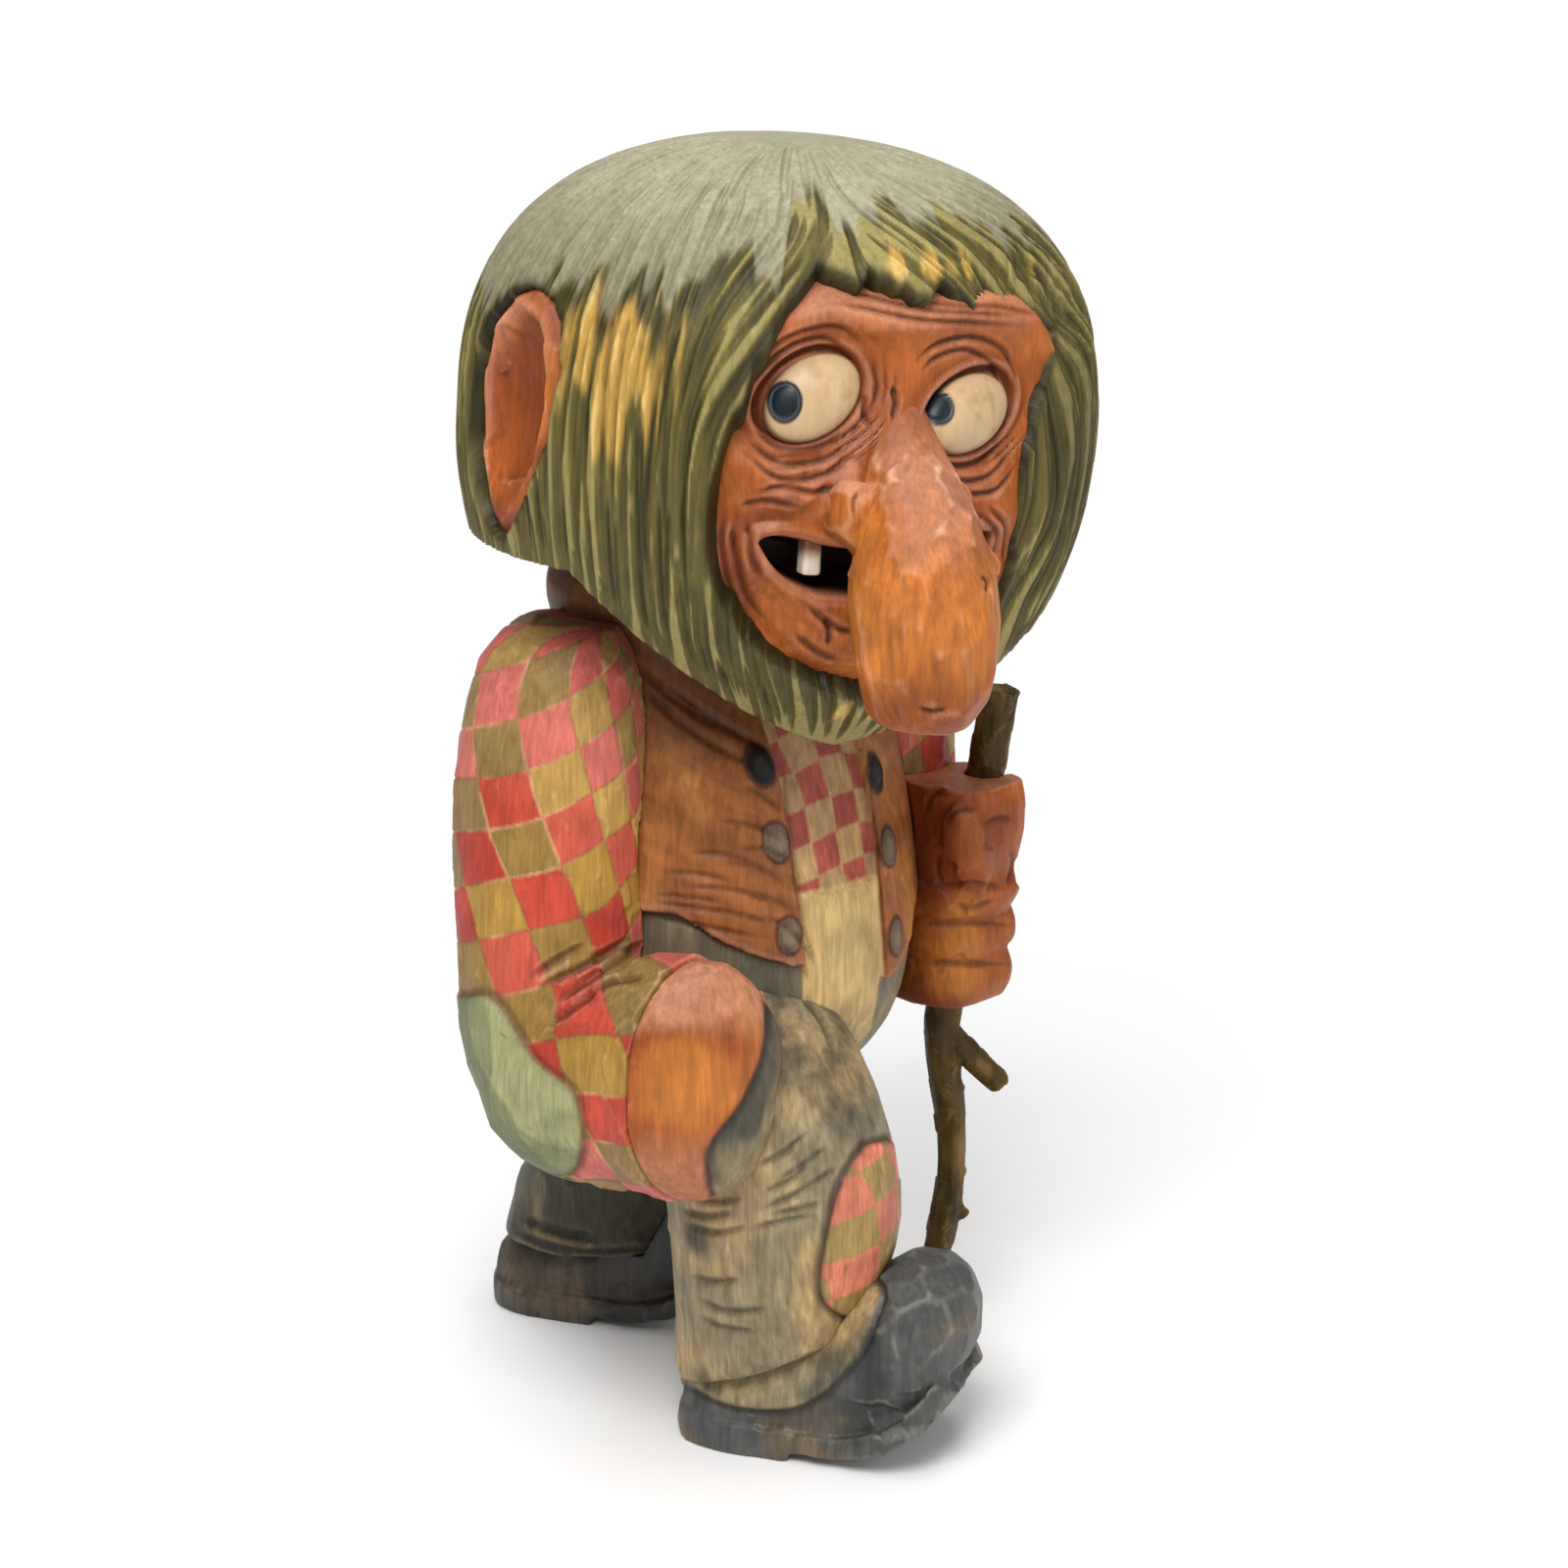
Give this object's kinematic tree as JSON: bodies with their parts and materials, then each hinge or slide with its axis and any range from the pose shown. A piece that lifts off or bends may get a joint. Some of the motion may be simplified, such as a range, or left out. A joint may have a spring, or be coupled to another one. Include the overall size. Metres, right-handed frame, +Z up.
{
  "type": "carved troll figure",
  "caption": "Carved and stained wooden folk troll with mossy hair and a drooping nose, striding with a hand in its pocket and a crooked staff that slides in its fist.",
  "frame": {"origin": "middle of the bounding box at floor level", "axes": "+Z up, -Y the way the trunk faces, -X the figure's right side"},
  "size_m": [0.1474, 0.1856, 0.3032],
  "materials": {
    "waistcoat_wood": "brown stain, worn to ochre, satin",
    "hair_wood": "moss-green stain over bare wood, satin",
    "skin_wood": "reddish-brown stain over visible grain, satin",
    "eye_paint": "cream paint with dark pupils",
    "tooth_paint": "white paint",
    "sleeve_wood": "red and mustard check stain, satin",
    "trouser_wood": "grey-olive stain, worn, satin",
    "shoe_wood": "charcoal stain, satin",
    "staff_wood": "dark olive-brown stain, satin",
    "dowel_wood": "bare, glued"
  },
  "bodies": {
    "figure": {"torso": "waistcoat_wood", "head": "hair_wood", "nose": "skin_wood", "right_eye": "eye_paint", "left_eye": "eye_paint", "tooth": "tooth_paint", "right_ear": "skin_wood", "left_ear": "skin_wood", "right_arm": "sleeve_wood", "right_hand": "skin_wood", "left_arm": "sleeve_wood", "left_fist": "skin_wood", "right_leg": "trouser_wood", "left_leg": "trouser_wood", "right_shoe": "shoe_wood", "left_shoe": "shoe_wood", "neck_dowel": "dowel_wood", "nose_dowel": "dowel_wood", "shoulder_dowels": "dowel_wood", "hip_dowels": "dowel_wood", "ankle_dowels": "dowel_wood", "hand_dowel": "dowel_wood", "fist_dowel": "dowel_wood"},
    "staff": {"staff": "staff_wood"}
  },
  "joints": [
    {"name": "staff_slide", "type": "slide", "parent": "figure", "child": "staff", "axis": [0.1136, -0.1028, 0.9882], "range_m": [-0.05, 0.005]}
  ]
}
